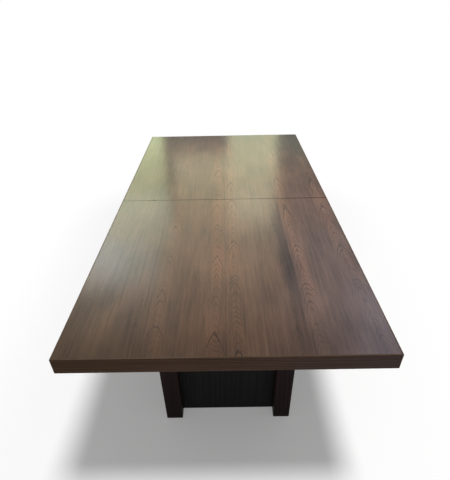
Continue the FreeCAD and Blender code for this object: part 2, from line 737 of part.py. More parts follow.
def post(label, x, y, turn):
    """Corner post, drawn with its housings towards +X and +Y and a tenon on top."""
    body = new_body(label)
    foot = sketch_on(body, "XY_Plane", f"{label}_foot", "glide_height")
    rectangle(foot, "-post_size / 2", "-post_size / 2", "post_size / 2", "post_size / 2")
    pad(body, foot, f"{BOARD_BOTTOM} - glide_height")
    soften(body, "Fillet", "post_round", lambda edge: upright_at(edge, "post_size / 2", "post_size / 2"))
    tenon = sketch_on(body, "XY_Plane", f"{label}_tenon", BOARD_BOTTOM)
    rectangle(tenon, "-tenon_size / 2", "-tenon_size / 2", "tenon_size / 2", "tenon_size / 2")
    pad(body, tenon, "board_thick")
    housing = sketch_on(body, "XY_Plane", f"{label}_housing", "infill_floor_gap")
    near = "(post_size / 2 - infill_reveal + housing_clear)"
    far = "(post_size / 2 - infill_reveal - infill_thick - housing_clear)"
    bottom = "(post_size / 2 - housing_depth)"
    rectangle(housing, bottom, far, "post_size / 2", near)
    rectangle(housing, far, bottom, near, "post_size / 2")
    pocket(body, housing, f"{BOARD_BOTTOM} - infill_floor_gap", along_normal=True)
    drill = sketch_on(body, "XY_Plane", f"{label}_glide_hole", "glide_height")
    circle(drill, "0", "0", "glide_pin_dia + 2 * glue_clear")
    pocket(body, drill, "glide_pin_length + hole_clear", along_normal=True)
    place(body, x, y, turn)


def infill(label, x, y, turn, opening):
    """Flat panel set back between two posts, with its edges in their housings."""
    body = new_body(label)
    plan = sketch_on(body, "XY_Plane", f"{label}_plan", "infill_floor_gap")
    half = f"({opening} / 2 - post_size + housing_depth - housing_clear)"
    rectangle(plan, f"-{half}", "-infill_thick / 2", half, "infill_thick / 2")
    pad(body, plan, f"{BOARD_BOTTOM} - infill_floor_gap")
    place(body, x, y, turn)


def top_board(label, y):
    """Board across the posts, mortised for their tenons and drilled for the bolts."""
    body = new_body(label)
    plan = sketch_on(body, "XY_Plane", f"{label}_plan", BOARD_BOTTOM)
    rectangle(plan, "-pedestal_width / 2", "-pedestal_depth / 2", "pedestal_width / 2", "pedestal_depth / 2")
    pad(body, plan, "board_thick")
    soften(
        body, "Fillet", "post_round",
        lambda edge: upright_at(edge, "pedestal_width / 2", "pedestal_depth / 2"),
    )
    mortise = sketch_on(body, "XY_Plane", f"{label}_mortise", BOARD_BOTTOM)
    half = "(tenon_size / 2 + tenon_clear)"
    rectangle(
        mortise, f"-{POST_X} - {half}", f"-{POST_Y} - {half}", f"-{POST_X} + {half}", f"-{POST_Y} + {half}"
    )
    mortise_cut = pocket(body, mortise, "board_thick", along_normal=True)
    grid(body, [mortise_cut], f"2 * {POST_X}", "2", f"2 * {POST_Y}", "2")
    drill = sketch_on(body, "XY_Plane", f"{label}_bolt_hole", BOARD_BOTTOM)
    circle(drill, "-bolt_span_across / 2", "-bolt_span_along / 2", "bolt_dia + 2 * hole_clear")
    drill_cut = pocket(body, drill, "board_thick", along_normal=True)
    grid(body, [drill_cut], BOLT_STEP_X, "bolts_across", BOLT_STEP_Y, "bolts_along")
    place(body, y=y)


def pedestal_bolts(label, y):
    """Flanged hexagon bolts up through the board into the panel."""
    first_x = "(-bolt_span_across / 2)"
    first_y = "(-bolt_span_along / 2)"
    flange = f"({BOARD_BOTTOM} - bolt_flange_thick)"
    body, shank = turned_piece(label, [
        ("0", flange),
        ("bolt_flange_dia / 2", flange),
        ("bolt_flange_dia / 2", BOARD_BOTTOM),
        ("bolt_dia / 2", BOARD_BOTTOM),
        ("bolt_dia / 2", f"{UNDERSIDE} + bolt_bite"),
        ("0", f"{UNDERSIDE} + bolt_bite"),
    ], first_x, first_y)
    hexagon = sketch_on(body, "XY_Plane", f"{label}_hexagon", flange)
    corner_radius = "bolt_head_across / 2 / cos(30deg)"
    corners = []
    for number in range(6):
        across, along = polar(corner_radius, f"{60 * number}deg")
        corners.append((f"{first_x} + {across}", f"{first_y} + {along}"))
    outline(hexagon, corners)
    head = pad(body, hexagon, "bolt_head_height", reverse=True)
    grid(body, [shank, head], BOLT_STEP_X, "bolts_across", BOLT_STEP_Y, "bolts_along")
    place(body, y=y)


def glides(label, y):
    """Round glides, each with a pin driven into the foot of a post."""
    body, turned = turned_piece(label, [
        ("0", "0"),
        ("glide_dia / 2 - glide_edge", "0"),
        ("glide_dia / 2", "glide_edge"),
        ("glide_dia / 2", "glide_height"),
        ("glide_pin_dia / 2", "glide_height"),
        ("glide_pin_dia / 2", "glide_height + glide_pin_length"),
        ("0", "glide_height + glide_pin_length"),
    ], f"-{POST_X}", f"-{POST_Y}")
    grid(body, [turned], f"2 * {POST_X}", "2", f"2 * {POST_Y}", "2")
    place(body, y=y)


# The table

# Each half's turn about Z, and the sign of each side's Y or X
HALVES = {"front": (0, "-"), "rear": (180, "")}
HANDS = {"left": "-", "right": ""}

# Turn of a corner post by the signs of its X and Y, so that its housings face the infills
QUARTER_TURNS = {("-", "-"): 0, ("", "-"): 90, ("", ""): 180, ("-", ""): 270}

for side, (turn, sign_y) in HALVES.items():
    # The half turn swaps left and right
    hands = ("left", "right") if turn == 0 else ("right", "left")
    if side == "front":
        top_panel(side, turn, "pin_dia + 2 * glue_clear", "pin_embed + hole_clear")
        seam_batten(side, turn, "pivot_thread_dia + 2 * glue_clear", "pivot_thread_length + hole_clear")
    else:
        top_panel(side, turn, "pin_dia + 2 * pin_clear", "seam_gap + pin_reach + hole_clear")
        seam_batten(side, turn, "stud_dia + 2 * glue_clear", "stud_embed + hole_clear")
    end_strip(side, turn)
    end_edging(side, turn)
    for hand, sign in zip(hands, ("-", "")):
        side_strip(side, hand, turn, sign)
        side_edging(side, hand, turn, sign)
    slide_screws(side, turn)

    pedestal_y = f"{sign_y}{PEDESTAL_Y}"
    faces = {"outer": sign_y, "inner": "" if sign_y else "-"}
    for face, sign_face in faces.items():
        for hand, sign in HANDS.items():
            post(
                f"{side}_{face}_{hand}_post", f"{sign}{POST_X}", f"{pedestal_y} + ({sign_face}{POST_Y})",
                QUARTER_TURNS[sign, sign_face],
            )
        infill_y = f"{pedestal_y} + ({sign_face}(pedestal_depth / 2 - {INFILL_INSET}))"
        infill(f"{side}_{face}_infill", "0", infill_y, 0, "pedestal_width")
    for hand, sign in HANDS.items():
        infill_x = f"{sign}(pedestal_width / 2 - {INFILL_INSET})"
        infill(f"{side}_{hand}_infill", infill_x, pedestal_y, 90, "pedestal_depth")
    top_board(f"{side}_pedestal_board", pedestal_y)
    pedestal_bolts(f"{side}_pedestal_bolts", pedestal_y)
    glides(f"{side}_pedestal_glides", pedestal_y)

alignment_pins()

# With an odd count the pinion has a space opposite its tooth, so the rear rack moves half a pitch
REAR_PHASE = f"(pinion_teeth % 2) * {PITCH} / 2"

for hand, sign in HANDS.items():
    slide_x = f"{sign}{SLIDE_X}"
    side_rail(f"{hand}_slide_front_rail", slide_x, 0)
    side_rail(f"{hand}_slide_rear_rail", slide_x, 180)
    rack(f"{hand}_slide_front_rack", slide_x, 0, "0")
    rack(f"{hand}_slide_rear_rack", slide_x, 180, REAR_PHASE)
    centre_rail(f"{hand}_slide_centre_rail", slide_x)
    pinion(f"{hand}_slide_pinion", slide_x)
    pinion_axle(f"{hand}_slide_pinion_axle", slide_x)
    lock_hook(f"{hand}_lock_hook", f"{sign}{LOCK_X}")

lock_pivots()
lock_keepers()

doc.recompute()

# Every feature and every piece has to be sound before anything is written
for item in doc.Objects:
    if "Invalid" in item.State or "Error" in item.State:
        raise RuntimeError(f"{item.Label} failed: {item.State}")
for body in subparts:
    if body.Shape.isNull() or not body.Shape.isValid():
        raise RuntimeError(f"{body.Label} has no sound shape")

os.makedirs("parts", exist_ok=True)
for body in subparts:
    body.Shape.exportStep(f"parts/{body.Label}.step")
    box = body.Shape.BoundBox
    print(f"{body.Label}: {len(body.Shape.Solids)} solids, {body.Shape.Volume / 1000:.1f} cm3, "
          f"{box.XLength:.1f} x {box.YLength:.1f} x {box.ZLength:.1f} mm")
print(f"{len(subparts)} pieces")
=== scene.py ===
import json
from math import pi, radians

import bpy
import numpy as np
from mathutils import Euler, Matrix, Vector


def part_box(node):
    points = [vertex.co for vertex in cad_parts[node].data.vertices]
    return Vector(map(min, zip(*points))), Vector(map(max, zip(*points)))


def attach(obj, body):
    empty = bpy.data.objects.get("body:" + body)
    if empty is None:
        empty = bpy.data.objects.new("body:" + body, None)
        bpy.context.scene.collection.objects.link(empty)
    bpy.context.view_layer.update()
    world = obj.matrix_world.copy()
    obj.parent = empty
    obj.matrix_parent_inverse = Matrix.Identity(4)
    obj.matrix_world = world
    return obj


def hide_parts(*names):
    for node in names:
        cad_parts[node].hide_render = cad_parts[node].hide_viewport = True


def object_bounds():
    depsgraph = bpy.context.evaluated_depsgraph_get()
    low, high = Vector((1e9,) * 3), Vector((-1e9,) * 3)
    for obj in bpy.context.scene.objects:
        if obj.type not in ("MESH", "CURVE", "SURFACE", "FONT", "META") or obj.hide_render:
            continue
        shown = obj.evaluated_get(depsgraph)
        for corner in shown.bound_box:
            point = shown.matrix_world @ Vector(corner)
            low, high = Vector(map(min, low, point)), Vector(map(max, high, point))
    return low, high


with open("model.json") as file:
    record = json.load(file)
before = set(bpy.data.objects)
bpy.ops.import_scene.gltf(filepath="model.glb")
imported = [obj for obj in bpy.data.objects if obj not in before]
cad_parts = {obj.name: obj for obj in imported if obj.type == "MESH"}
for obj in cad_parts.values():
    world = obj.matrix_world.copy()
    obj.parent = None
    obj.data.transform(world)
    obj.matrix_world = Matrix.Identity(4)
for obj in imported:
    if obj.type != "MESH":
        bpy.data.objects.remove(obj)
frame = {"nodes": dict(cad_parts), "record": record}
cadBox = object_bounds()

# Finishes, fasteners, floor, light and camera of a dark double pedestal dining table.
# Metres: X across the top, Y along it, Z up. The camera stands at the front end.

scene = bpy.context.scene
record = frame["record"]
slotOf = {row["node"]: row["material_slot"] for row in record["subparts"]}
bodyOf = {node: body for body, nodes in record["behaviour"]["bodies"].items() for node in nodes}
tableHigh = cadBox[1]
white = (1.0, 1.0, 1.0)


# Node sums

class Signal:
    # A node's output that takes part in sums: a + b, a * b and so on each add a Math node
    def __init__(self, tree, socket):
        self.tree = tree
        self.socket = socket

    def math(self, operation, *others):
        node = self.tree.nodes.new("ShaderNodeMath")
        node.operation = operation
        for inlet, value in zip(node.inputs, (self, *others)):
            plug(inlet, value)
        return Signal(self.tree, node.outputs[0])

    def __add__(self, other):
        return self.math("ADD", other)

    def __sub__(self, other):
        return self.math("SUBTRACT", other)

    def __mul__(self, other):
        return self.math("MULTIPLY", other)

    def __abs__(self):
        return self.math("ABSOLUTE")


def plug(inlet, value):
    if isinstance(value, Signal):
        value.tree.links.new(value.socket, inlet)
    else:
        inlet.default_value = value


def times(vector, factors):  # a place or a colour, times three numbers or a signal
    node = vector.tree.nodes.new("ShaderNodeVectorMath")
    node.operation = "MULTIPLY"
    plug(node.inputs[0], vector)
    plug(node.inputs[1], factors)
    return Signal(vector.tree, node.outputs[0])


def parted(vector):
    node = vector.tree.nodes.new("ShaderNodeSeparateXYZ")
    plug(node.inputs[0], vector)
    return [Signal(vector.tree, outlet) for outlet in node.outputs]


def joined(x, y, z):
    node = x.tree.nodes.new("ShaderNodeCombineXYZ")
    for inlet, value in zip(node.inputs, (x, y, z)):
        plug(inlet, value)
    return Signal(x.tree, node.outputs[0])


def noise(vector, perMetre, detail=2.0, roughness=0.5):  # cloudy values from 0 to 1
    node = vector.tree.nodes.new("ShaderNodeTexNoise")
    plug(node.inputs["Vector"], times(vector, perMetre))
    node.inputs["Scale"].default_value = 1.0
    node.inputs["Detail"].default_value = detail
    node.inputs["Roughness"].default_value = roughness
    return Signal(vector.tree, node.outputs[0])


def dice(number):  # one random value from 0 to 1 for each whole number
    node = number.tree.nodes.new("ShaderNodeTexWhiteNoise")
    node.noise_dimensions = "1D"
    plug(node.inputs["W"], number)
    return Signal(number.tree, node.outputs["Value"])


def smooth(value, low, high):  # 0 at low, 1 at high, eased between
    node = value.tree.nodes.new("ShaderNodeMapRange")
    node.interpolation_type = "SMOOTHSTEP"
    for inlet, number in zip(node.inputs, (value, low, high, 0.0, 1.0)):
        plug(inlet, number)
    return Signal(value.tree, node.outputs[0])


def within(value, start, end, core):
    # 1 in the middle of the run from start to end and 0 at its ends; core is the share of it that is full
    half = (end - start) / 2
    return smooth(abs(value - (start + end) / 2), half, half * core)


def stepped(number, table):  # the table's value for each whole number
    halfStep = 0.5
    rows = [number.math("COMPARE", place, halfStep) * value for place, value in table.items()]
    return sum(rows[1:], rows[0])


def spread(value, low, high):  # 0..1 carried to low..high
    return value.math("MULTIPLY_ADD", high - low, low)


def swing(value, reach):  # 0..1 carried to -reach..reach
    return spread(value, -reach, reach)


def lessBy(value, share):  # 1 where value is 0, 1 - share where it is 1
    return spread(value, 1.0, 1.0 - share)


def shades(value, stops):  # colour ramp of (place, colour)
    node = value.tree.nodes.new("ShaderNodeValToRGB")
    elements = node.color_ramp.elements
    while len(elements) < len(stops):
        elements.new(0.5)  # moved to its place below
    for element, (place, colour) in zip(elements, stops):
        element.position = place
        element.color = (*colour, 1.0)
    plug(node.inputs[0], value)
    return Signal(value.tree, node.outputs[0])


def mixed(factor, first, second):
    node = factor.tree.nodes.new("ShaderNodeMix")
    node.data_type = "RGBA"
    sockets = (node.inputs[0], node.inputs[6], node.inputs[7])  # the factor and the two colours
    for inlet, value in zip(sockets, (factor, first, second)):
        plug(inlet, value if isinstance(value, Signal) else (*value, 1.0))
    return Signal(factor.tree, node.outputs[2])


def newMaterial(name):
    material = bpy.data.materials.new(name)
    material.use_nodes = True
    material.node_tree.nodes.clear()
    place = material.node_tree.nodes.new("ShaderNodeTexCoord")
    return material, Signal(material.node_tree, place.outputs["Object"])


def surface(colour, roughness, height, relief, fixed):
    # relief is how deep the height's 0..1 reaches, in metres; fixed values go on the shader's own sockets
    tree = colour.tree
    shader = tree.nodes.new("ShaderNodeBsdfPrincipled")
    bump = tree.nodes.new("ShaderNodeBump")
    bump.inputs["Distance"].default_value = relief
    plug(bump.inputs["Height"], height)
    plug(shader.inputs["Base Color"], colour)
    plug(shader.inputs["Roughness"], roughness)
    tree.links.new(bump.outputs[0], shader.inputs["Normal"])
    for name, value in fixed.items():
        shader.inputs[name].default_value = value
    output = tree.nodes.new("ShaderNodeOutputMaterial")
    tree.links.new(shader.outputs[0], output.inputs[0])


# Wood

def growthRings(radius, wood):
    # Rings are whole steps of radius * ringsPerMetre; each starts dark and porous and grows lighter.
    # Good and bad years make them wider and narrower, stronger and fainter.
    yearsPerMetre = wood["ringsPerMetre"] * wood["yearRun"]
    years = noise(joined(radius, 0.0, 0.0), (yearsPerMetre,) * 3, detail=1.0)
    phase = radius * wood["ringsPerMetre"] + swing(years, wood["yearSwing"])
    early = smooth(phase.math("FRACT"), wood["earlyWood"], 0.0)
    return early * spread(dice(phase.math("FLOOR")), *wood["ringStrength"])


def woodGrain(early, position, wood):
    # Shade from 0, dark, to 1, light, and the open pores, which crowd into the early wood
    shade = spread(early, wood["lightness"], wood["lightness"] - wood["ringContrast"])
    for layer in ("fibre", "streak", "cloud"):
        shade = shade + swing(noise(position, *wood[layer + "Noise"]), wood[layer + "Contrast"])
    pores = smooth(noise(position, *wood["poreNoise"]), *wood["poreEdge"])
    pores = pores * spread(early, wood["poresInLateWood"], 1.0)
    return shade - pores * wood["poreContrast"], pores


def grainRelief(early, pores, wood):  # early wood lies a little lower, pores are pits
    return lessBy(early, wood["ringRelief"]) - pores * wood["poreRelief"]


stainedWood = {
    "ringsPerMetre": 250.0,
    "yearRun": 0.35,
    "yearSwing": 0.8,
    "earlyWood": 0.62,
    "ringStrength": (0.15, 1.0),
    "lightness": 0.68,
    "ringContrast": 0.46,
    "fibreContrast": 0.22,
    "streakContrast": 0.24,
    "cloudContrast": 0.14,
    "poreEdge": (0.56, 0.68),
    "poresInLateWood": 0.25,
    "poreContrast": 0.22,
    "ringRelief": 0.35,
    "poreRelief": 0.65,
}

# Each noise gives lumps per metre along three directions, then detail and roughness
topVeneer = {
    **stainedWood,
    "leafWidth": 0.13625,           # eight leaves, book matched in pairs
    "figureAxis": 0.037,            # from a pair's joint to the middle of the figure
    "figureWidth": (0.046, 0.014),  # arches fade out this far from the axis and are full this near
    "figureFaint": 0.18,            # what is left of them further out
    # how strong the arches are in each leaf, counted from the middle of the top
    "leafFigure": {-4: 0.1, -3: 0.15, -2: 0.6, -1: 1.0, 0: 1.0, 1: 0.15, 2: 0.85, 3: 0.7},
    "figureGround": 0.17,               # between them the wood is lighter
    "figureTint": (1.08, 0.985, 0.93),  # and redder
    "figureFade": (-0.60, -0.95),       # both less towards the near end
    "figureFadeShare": 0.55,
    "ringsPerMetre": 300.0,
    "earlyWood": 0.50,
    "ringContrast": 0.47,
    "heartDepth": 0.080,            # the log's heart under the leaf, at its near end
    "heartFall": 0.115,             # how much deeper it lies a metre on
    "heartEasing": 0.030,           # and how that fall eases
    "heartWander": 0.007,
    "wanderNoise": ((0.7, 6.0, 1.0), 1.0),
    "archPower": 1.65,              # 2 gives round arches, 1 straight chevrons
    "sway": 0.012,                  # the figure's way to and fro across the leaf
    "swayNoise": ((1.9, 1.4, 1.0), 1.0),
    "slip": 0.12,                   # neighbours were cut one after the other, so their figures slip along
    "combing": 0.017,               # fibres carry the rings along, which makes the arches toothed
    "combNoise": ((190.0, 9.0, 40.0), 2.0, 0.6),
    "livelyNoise": ((9.0, 2.3, 5.0), 2.0),
    "livelyEdge": (0.38, 0.60),
    "calm": (0.45, 1.1),            # strength of the figure in calm and in lively stretches
    "fibreNoise": ((430.0, 14.0, 60.0), 3.0, 0.65),
    "fibreContrast": 0.18,
    "streakNoise": ((105.0, 4.0, 20.0), 3.0, 0.55),
    "streakContrast": 0.19,
    "cloudNoise": ((11.0, 4.5, 5.0), 2.0),
    "cloudContrast": 0.20,
    "poreNoise": ((1300.0, 28.0, 200.0), 1.0),
    "shades": [
        (0.0, (0.024, 0.0155, 0.0125)),
        (0.45, (0.061, 0.0415, 0.0315)),
        (1.0, (0.208, 0.119, 0.077)),
    ],
    "leafTone": 0.10,
    "leftPaintedLight": (0.92, 1.0, 0.95),   # painted light: a greenish light tints the stain olive at the left, and a bluish sheen tints it plum at the right
    "rightPaintedSheen": (0.88, 1.04, 1.40),
    "rightPaintedSheenFade": (0.50, -0.60),  # along the top, from none to full
    "farPaintedShade": (0.62, 0.88, 0.84),   # painted shade: darker and olive at the far right corner, where only a dim greenish reflection falls
    "farPaintedShadeFade": ((0.29, 0.52), (0.15, 0.85)),  # across the top and along it
    "paintedEndShade": (0.26, 0.34),      # painted shade: the top darkens over this length at both ends, by this share
    "jointWidth": 0.0012,
    "jointDark": 0.55,
    # straight dark lines in the leaves on the left: place, from and to along the top
    "mineralLines": [
        (-0.445, -0.80, -0.25),
        (-0.388, -0.90, -0.20),
        (-0.335, -0.75, -0.35),
        (-0.290, -0.90, -0.10),
    ],
    "mineralWidth": 0.0045,
    "mineralCore": 0.5,
    "mineralDark": 0.42,
    "waverNoise": ((1.7, 1.7, 1.7), 2.0),
    # broad dark band beside a joint on the right: partly a dark stain, partly a painted reflection of a dark
    # upright thing, which gives its bluish tint
    "bandAcross": (0.218, 0.294),
    "bandAlong": (-1.00, 0.06),
    "bandCores": (1 / 4, 2 / 9),     # shares of its width and length that are full
    "bandSway": 0.034,
    "bandTint": (0.60, 0.69, 0.82),
    "bandPatches": (0.55, 1.2),
    "patchNoise": ((16.0, 3.0, 16.0), 2.0),
    # dark edge banding on the seam's faces, and darker on the top beside the seam
    "seamDark": (0.017, 0.010, 0.007),
    "seamDarkDepth": (0.0040, 0.0020),  # from the middle of the seam, none and full
    "backing": (0.075, 0.050, 0.034),
    "backingShade": (0.55, 1.35),
    "backingDepth": (0.0006, 0.0002),   # from the underside, none and full
    "filmNoise": ((5.0, 3.0, 5.0), 3.0, 0.6),
    "roughness": (0.11, 0.21),
    "poreRoughness": 0.15,
    "backingRoughness": 0.35,
    "specular": 0.06,
    "relief": 0.00012,
}


def paintedEndShade(y):  # painted shade: 1 along the top, falling towards both ends
    length, share = topVeneer["paintedEndShade"]
    return lessBy(smooth(abs(y), tableHigh.y - length, tableHigh.y), share)


def makeTopVeneer():
    wood = topVeneer
    material, position = newMaterial("topVeneer")
    x, y, z = parted(position)
    low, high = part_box("front_top_panel")
    leaf = (x * (1.0 / wood["leafWidth"])).math("FLOOR")
    luck = dice(leaf)
    fromJoint = x.math("PINGPONG", wood["leafWidth"])  # so each pair of leaves mirrors itself at its joint
    # Crown cut: the heart of the log falls away under the leaf, so that every ring shows as an arch.
    # ring radius = (distance from the figure's axis ^ power + depth of the heart ^ power) ^ (1 / power)
    comb = noise(position, *wood["combNoise"])
    along = y - low.y + swing(comb, wood["combing"]) + swing(luck, wood["slip"])
    wander = noise(joined(leaf, y, luck), *wood["wanderNoise"])
    fall = spread(along, wood["heartFall"], wood["heartFall"] - wood["heartEasing"])
    depth = (along * fall + swing(wander, wood["heartWander"]) + wood["heartDepth"]).math("MAXIMUM", 0.0)
    sway = noise(joined(leaf, y, luck), *wood["swayNoise"])
    off = abs(fromJoint - wood["figureAxis"] + swing(sway, wood["sway"]))
    power = wood["archPower"]
    radius = (off.math("POWER", power) + depth.math("POWER", power)).math("POWER", 1.0 / power)
    lively = smooth(noise(position, *wood["livelyNoise"]), *wood["livelyEdge"])
    figure = smooth(off, *wood["figureWidth"]) * stepped(leaf, wood["leafFigure"])
    early = growthRings(radius, wood) * spread(lively, *wood["calm"])
    early = early * spread(figure, wood["figureFaint"], 1.0)
    shade, pores = woodGrain(early, position, wood)
    ground = figure * lively * lessBy(smooth(y, *wood["figureFade"]), wood["figureFadeShare"])
    shade = shade + ground * wood["figureGround"]
    # Stain: its tone differs from leaf to leaf and in the figure. Painted shade darkens it at the ends, and
    # painted light tints it from side to side and at the far right corner
    leafTone = spread(luck, 1.0 - wood["leafTone"], 1.0 + wood["leafTone"])
    colour = times(shades(shade, wood["shades"]), leafTone)
    colour = times(colour, mixed(ground, white, wood["figureTint"]))
    colour = times(colour, paintedEndShade(y))
    plum = smooth(x, 0.0, high.x) * smooth(y, *wood["rightPaintedSheenFade"])
    farAcross, farAlong = wood["farPaintedShadeFade"]
    olive = smooth(x, *farAcross) * smooth(y, *farAlong)
    tints = {"leftPaintedLight": smooth(x, 0.0, low.x), "rightPaintedSheen": plum, "farPaintedShade": olive}
    for tint, share in tints.items():
        colour = times(colour, mixed(share, white, wood[tint]))
    # Dark lines: the pairs' joints and mineral lines, and the broad band, which is partly a painted
    # reflection
    waver = noise(y, *wood["waverNoise"])
    bandCoreAcross, bandCoreAlong = wood["bandCores"]
    band = within(x + swing(waver, wood["bandSway"]), *wood["bandAcross"], bandCoreAcross)
    band = band * within(y, *wood["bandAlong"], bandCoreAlong)
    patchy = spread(noise(position, *wood["patchNoise"]), *wood["bandPatches"])
    colour = times(colour, mixed(band * patchy, white, wood["bandTint"]))
    dark = smooth(fromJoint, wood["jointWidth"], 0.0) * wood["jointDark"]
    width = wood["mineralWidth"]
    for place, start, end in wood["mineralLines"]:
        line = within(x + swing(waver, width), place - width, place + width, 0.0)
        line = line * within(y, start, end, wood["mineralCore"])
        dark = dark.math("MAXIMUM", line * wood["mineralDark"])
    colour = times(colour, lessBy(dark, 1.0))
    # The seam's faces wear dark edge banding, and the top is darker beside them; the underside wears a plain
    # backing veneer
    colour = mixed(smooth(abs(y), *wood["seamDarkDepth"]), colour, wood["seamDark"])
    under = smooth(z - low.z, *wood["backingDepth"])
    plain = times(spread(shade, *wood["backingShade"]), wood["backing"])
    colour = mixed(under, colour, plain)
    film = noise(position, *wood["filmNoise"])
    roughness = spread(film, *wood["roughness"])
    roughness = roughness + pores * wood["poreRoughness"] + under * wood["backingRoughness"]
    height = grainRelief(early, pores, wood)
    surface(colour, roughness, height, wood["relief"], {"Specular IOR Level": wood["specular"]})
    return material


solidWood = {
    **stainedWood,
    "combing": 0.010,
    "combNoise": ((300.0, 5.0, 300.0), 2.0, 0.6),
    "fibreNoise": ((430.0, 9.0, 430.0), 3.0, 0.65),
    "streakNoise": ((90.0, 1.6, 90.0), 3.0, 0.55),
    "cloudNoise": ((9.0, 2.2, 9.0), 2.0),
    "poreNoise": ((1300.0, 30.0, 1300.0), 1.0),
    "taper": 0.03,                  # the log narrows along its length, so that rings run out in long arches
    "bend": 0.05,
    "bendNoise": ((1.3, 1.1, 1.3), 1.0),
    "filmNoise": ((6.0, 6.0, 6.0), 3.0, 0.6),
    "poreRoughness": 0.12,
    "relief": 0.00003,
}

rubbedWood = {
    **solidWood,
    "taper": 0.008,
    "bend": 0.012,
    "ringContrast": 0.30,
    "rubNoise": ((55.0, 55.0, 55.0), 3.0, 0.6),
    "rubEdge": (0.40, 0.70),
    "rubRoughness": 0.1,
}

edgeWood = {
    **rubbedWood,
    "heart": (0.11, 0.31),          # where the log's heart lies, across and through
    "taper": 0.006,
    "bend": 0.010,
    # the outer faces' shades are darker than the veneer's by painted shade
    "shades": [
        (0.0, (0.0090, 0.0052, 0.0030)),
        (0.5, (0.0345, 0.0188, 0.0104)),
        (1.0, (0.0880, 0.0480, 0.0265)),
    ],
    "upperFace": (1.80, 2.00, 2.40),     # flush with the veneer and sanded with it, so it takes the veneer's tone, lighter than the outer faces' painted shade
    "upperDepth": (0.0008, 0.0002),      # from the top, none and full
    "sidePaintedLight": ((1.10, 1.02, 0.76), (1.32, 1.29, 1.42), (1.26, 1.32, 1.95)),  # painted light on the outer faces: left, middle, right
    # a lighter worn colour along the arrises: wear and a painted highlight
    "wear": 0.22,
    "worn": (0.085, 0.054, 0.036),
    "wearWidth": (0.0020, 0.0002),       # from the arris, none and full
    "relief": 0.00001,
    "roughness": (0.40, 0.52),
    "specular": 0.05,
}

postWood = {
    **rubbedWood,
    "heart": (0.05, 0.09),
    "shades": [
        (0.0, (0.0030, 0.0017, 0.0020)),
        (0.5, (0.0120, 0.0059, 0.0066)),
        (1.0, (0.0335, 0.0163, 0.0172)),
    ],
    "wear": 0.5,
    "worn": (0.055, 0.030, 0.023),
    "wearWidth": (0.0030, 0.0012),
    "footWear": 0.6,
    "footHeight": (0.030, 0.006),
    "roughness": (0.36, 0.52),
    "specular": 0.04,
}

infillWood = {
    **solidWood,
    "heart": (0.4, 1.6),
    "taper": 0.008,
    "bend": 0.012,
    "ringContrast": 0.24,
    "shades": [
        (0.0, (0.0030, 0.0030, 0.0030)),
        (0.5, (0.0078, 0.0076, 0.0076)),
        (1.0, (0.0185, 0.0180, 0.0178)),
    ],
    "roughness": (0.42, 0.56),
    "specular": 0.05,
}

undersideWood = {
    **solidWood,
    "heart": (0.2, 0.5),
    "ringsPerMetre": 180.0,
    "shades": [
        (0.0, (0.030, 0.018, 0.011)),
        (0.5, (0.078, 0.050, 0.032)),
        (1.0, (0.150, 0.105, 0.070)),
    ],
    "roughness": (0.55, 0.72),
    "specular": 0.3,
}

slideWood = {
    **solidWood,
    "heart": (0.03, 0.30),
    "ringsPerMetre": 420.0,
    "ringContrast": 0.26,
    "fibreContrast": 0.12,
    "streakContrast": 0.12,
    "shades": [
        (0.0, (0.200, 0.105, 0.050)),
        (0.5, (0.400, 0.240, 0.125)),
        (1.0, (0.560, 0.370, 0.215)),
    ],
    "roughness": (0.36, 0.50),
    "specular": 0.4,
}


def turnedTo(position, along):
    # The position with the grain's direction second: across, along, through
    x, y, z = parted(position)
    return {"X": (y, x, z), "Y": (x, y, z), "Z": (x, z, y)}[along]


def edgeTones(colour, position, wood):
    # Painted light tints the outer faces olive at the left, lighter in the middle and bluish at the right, as
    # on the top; the upper face takes the veneer's tone and its painted end shade
    x, y, z = parted(position)
    left, middle, right = wood["sidePaintedLight"]
    tint = mixed(smooth(x, -tableHigh.x, 0.0), left, middle)
    tint = mixed(smooth(x, 0.0, tableHigh.x), tint, right)
    upper = smooth(abs(z - tableHigh.z), *wood["upperDepth"])
    upperFaceColour = times(times(colour, wood["upperFace"]), paintedEndShade(y))
    return mixed(upper, times(colour, tint), upperFaceColour)


def makeSolidWood(name, wood, along, wearMask=None):
    # Rings of a tapered log whose heart lies beside the piece, so end grain shows arcs
    material, position = newMaterial(name)
    across, lengthwise, through = turnedTo(position, along)
    turned = joined(across, lengthwise, through)
    comb = noise(turned, *wood["combNoise"])
    lengthwise = lengthwise + swing(comb, wood["combing"])
    bend = noise(turned, *wood["bendNoise"])
    sideways = across - wood["heart"][0] + swing(bend, wood["bend"])
    upward = through - wood["heart"][1]
    radius = (sideways * sideways + upward * upward).math("SQRT") + lengthwise * wood["taper"]
    early = growthRings(radius, wood)
    shade, pores = woodGrain(early, turned, wood)
    colour = shades(shade, wood["shades"])
    film = noise(position, *wood["filmNoise"])
    roughness = spread(film, *wood["roughness"]) + pores * wood["poreRoughness"]
    if "upperFace" in wood:
        colour = edgeTones(colour, position, wood)
    if wearMask:
        rubbed = smooth(noise(position, *wood["rubNoise"]), *wood["rubEdge"]) * wearMask(position, wood)
        colour = mixed(rubbed * wood["wear"], colour, wood["worn"])
        roughness = roughness + rubbed * wood["rubRoughness"]
    height = grainRelief(early, pores, wood)
    surface(colour, roughness, height, wood["relief"], {"Specular IOR Level": wood["specular"]})
    return material


def edgeWearAndHighlight(position, wood):
    # 1 on the upper and lower arris of the lipping and on its corners, where the worn colour is wear and a
    # painted highlight
    x, y, z = parted(position)
    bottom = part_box("front_end_edging")[0].z
    level = abs(z - tableHigh.z).math("MINIMUM", abs(z - bottom))
    corner = abs(abs(x) - tableHigh.x).math("MAXIMUM", abs(abs(y) - tableHigh.y))
    return smooth(level.math("MINIMUM", corner), *wood["wearWidth"])


